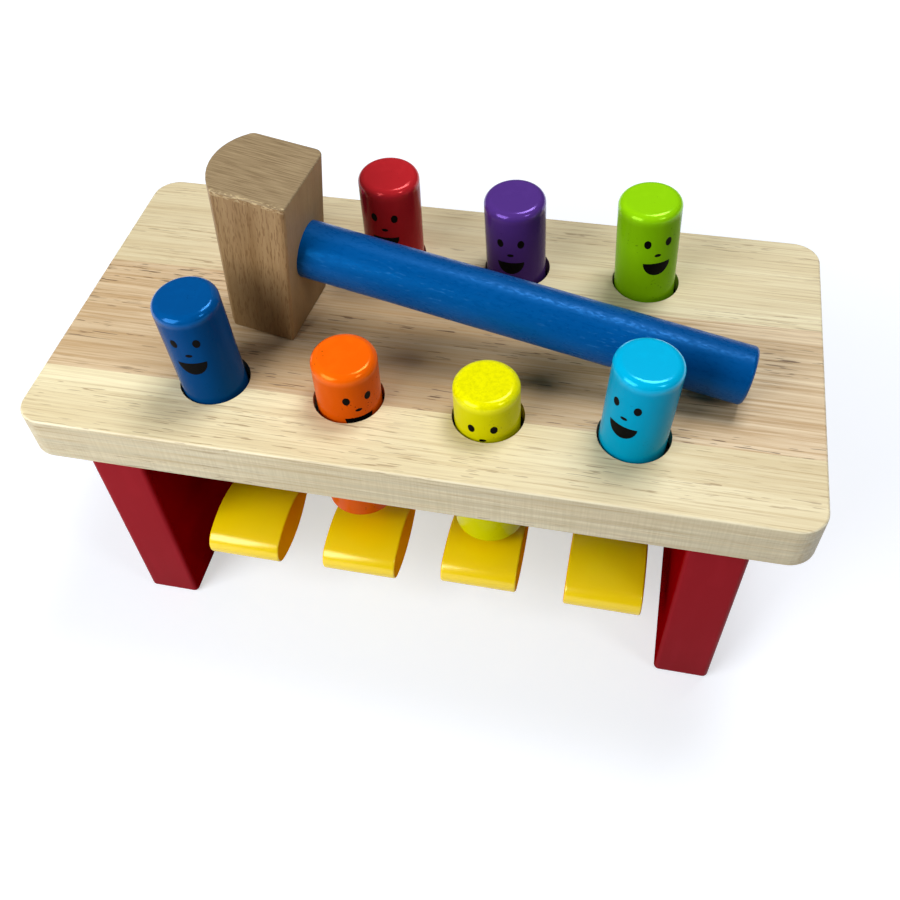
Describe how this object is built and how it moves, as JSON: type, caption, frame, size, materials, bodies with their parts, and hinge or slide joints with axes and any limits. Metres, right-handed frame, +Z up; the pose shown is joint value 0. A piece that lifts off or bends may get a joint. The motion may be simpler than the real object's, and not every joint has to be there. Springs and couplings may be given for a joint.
{
  "type": "peg pounding bench",
  "caption": "Wooden toy bench with lacquered sliding pegs in a bored plank, see-saw rockers below them and a loose wooden mallet.",
  "frame": {"origin": "On the floor, under the middle of the plank.", "axes": "+X runs along the plank to the right as the picture shows it, +Y to the back row of pegs, +Z up."},
  "size_m": [0.2906, 0.1476, 0.1862],
  "materials": {
    "pale_wood": "satin",
    "brown_wood": "satin",
    "back_wood": "satin",
    "red_lacquer": "gloss",
    "dowel_wood": "matte",
    "ring_rubber": "matte",
    "axle_steel": "brushed",
    "rocker_lacquer": "gloss",
    "blue_lacquer": "gloss",
    "orange_lacquer": "gloss",
    "yellow_lacquer": "gloss",
    "light_blue_lacquer": "gloss",
    "pink_lacquer": "gloss",
    "peg_red_lacquer": "gloss",
    "purple_lacquer": "gloss",
    "green_lacquer": "gloss",
    "mallet_beech": "matte",
    "handle_lacquer": "gloss",
    "face_print": "matte"
  },
  "bodies": {
    "bench": {"front_stave": "pale_wood", "middle_stave": "brown_wood", "back_stave": "back_wood", "left_leg": "red_lacquer", "right_leg": "red_lacquer", "leg_dowels": "dowel_wood", "grip_rings": "ring_rubber", "rocker_axle": "axle_steel", "middle_spacers": "dowel_wood", "left_spacer": "dowel_wood", "right_spacer": "dowel_wood"},
    "rocker_1": {"rocker_1": "rocker_lacquer"},
    "rocker_2": {"rocker_2": "rocker_lacquer"},
    "rocker_3": {"rocker_3": "rocker_lacquer"},
    "rocker_4": {"rocker_4": "rocker_lacquer"},
    "blue_peg": {"blue_peg": "blue_lacquer"},
    "orange_peg": {"orange_peg": "orange_lacquer"},
    "yellow_peg": {"yellow_peg": "yellow_lacquer"},
    "light_blue_peg": {"light_blue_peg": "light_blue_lacquer"},
    "pink_peg": {"pink_peg": "pink_lacquer"},
    "red_peg": {"red_peg": "peg_red_lacquer"},
    "purple_peg": {"purple_peg": "purple_lacquer"},
    "green_peg": {"green_peg": "green_lacquer"},
    "mallet": {"mallet_head": "mallet_beech", "mallet_handle": "handle_lacquer"}
  },
  "joints": [
    {"name": "blue_peg_slide", "type": "slide", "parent": "bench", "child": "blue_peg", "axis": [-0.0262, -0.0332, 0.9991], "range_m": [-0.0398, 0.001]},
    {"name": "orange_peg_slide", "type": "slide", "parent": "bench", "child": "orange_peg", "axis": [0.0157, -0.0175, 0.9997], "range_m": [-0.0196, 0.0214]},
    {"name": "yellow_peg_slide", "type": "slide", "parent": "bench", "child": "yellow_peg", "axis": [-0.014, -0.014, 0.9998], "range_m": [-0.0153, 0.0256]},
    {"name": "light_blue_peg_slide", "type": "slide", "parent": "bench", "child": "light_blue_peg", "axis": [0.0384, -0.0052, 0.9992], "range_m": [-0.035, 0.0058]},
    {"name": "pink_peg_slide", "type": "slide", "parent": "bench", "child": "pink_peg", "axis": [-0.0105, 0.014, -0.9998], "range_m": [-0.0296, 0.0105]},
    {"name": "red_peg_slide", "type": "slide", "parent": "bench", "child": "red_peg", "axis": [-0.0122, 0.0384, -0.9992], "range_m": [-0.0028, 0.0379]},
    {"name": "purple_peg_slide", "type": "slide", "parent": "bench", "child": "purple_peg", "axis": [0.0262, 0.0454, -0.9986], "range_m": [-0.0071, 0.0335]},
    {"name": "green_peg_slide", "type": "slide", "parent": "bench", "child": "green_peg", "axis": [0.0523, 0.0175, -0.9985], "range_m": [-0.0028, 0.0377]},
    {"name": "rocker_1_tilt", "type": "hinge", "parent": "bench", "child": "rocker_1", "pos_m": [0, 0, 0.036], "axis": [-1, 0, 0], "range_deg": [-8.1, 0.21]},
    {"name": "rocker_2_tilt", "type": "hinge", "parent": "bench", "child": "rocker_2", "pos_m": [0, 0, 0.036], "axis": [-1, 0, 0], "range_deg": [-9.3, 10.16]},
    {"name": "rocker_3_tilt", "type": "hinge", "parent": "bench", "child": "rocker_3", "pos_m": [0, 0, 0.036], "axis": [-1, 0, 0], "range_deg": [-12.3, 20.59]},
    {"name": "rocker_4_tilt", "type": "hinge", "parent": "bench", "child": "rocker_4", "pos_m": [0, 0, 0.036], "axis": [-1, 0, 0], "range_deg": [-10.9, 1.81]},
    {"name": "mallet_lift", "type": "slide", "parent": "bench", "child": "mallet", "axis": [0, 0, 1], "range_m": [0, 0.15]}
  ],
  "couplings": [
    {"joint": "rocker_1_tilt", "follows": "blue_peg_slide", "rad_per_m": 3.552},
    {"joint": "rocker_2_tilt", "follows": "orange_peg_slide", "rad_per_m": 8.281},
    {"joint": "rocker_3_tilt", "follows": "yellow_peg_slide", "rad_per_m": 14.031},
    {"joint": "rocker_4_tilt", "follows": "light_blue_peg_slide", "rad_per_m": 5.435}
  ]
}
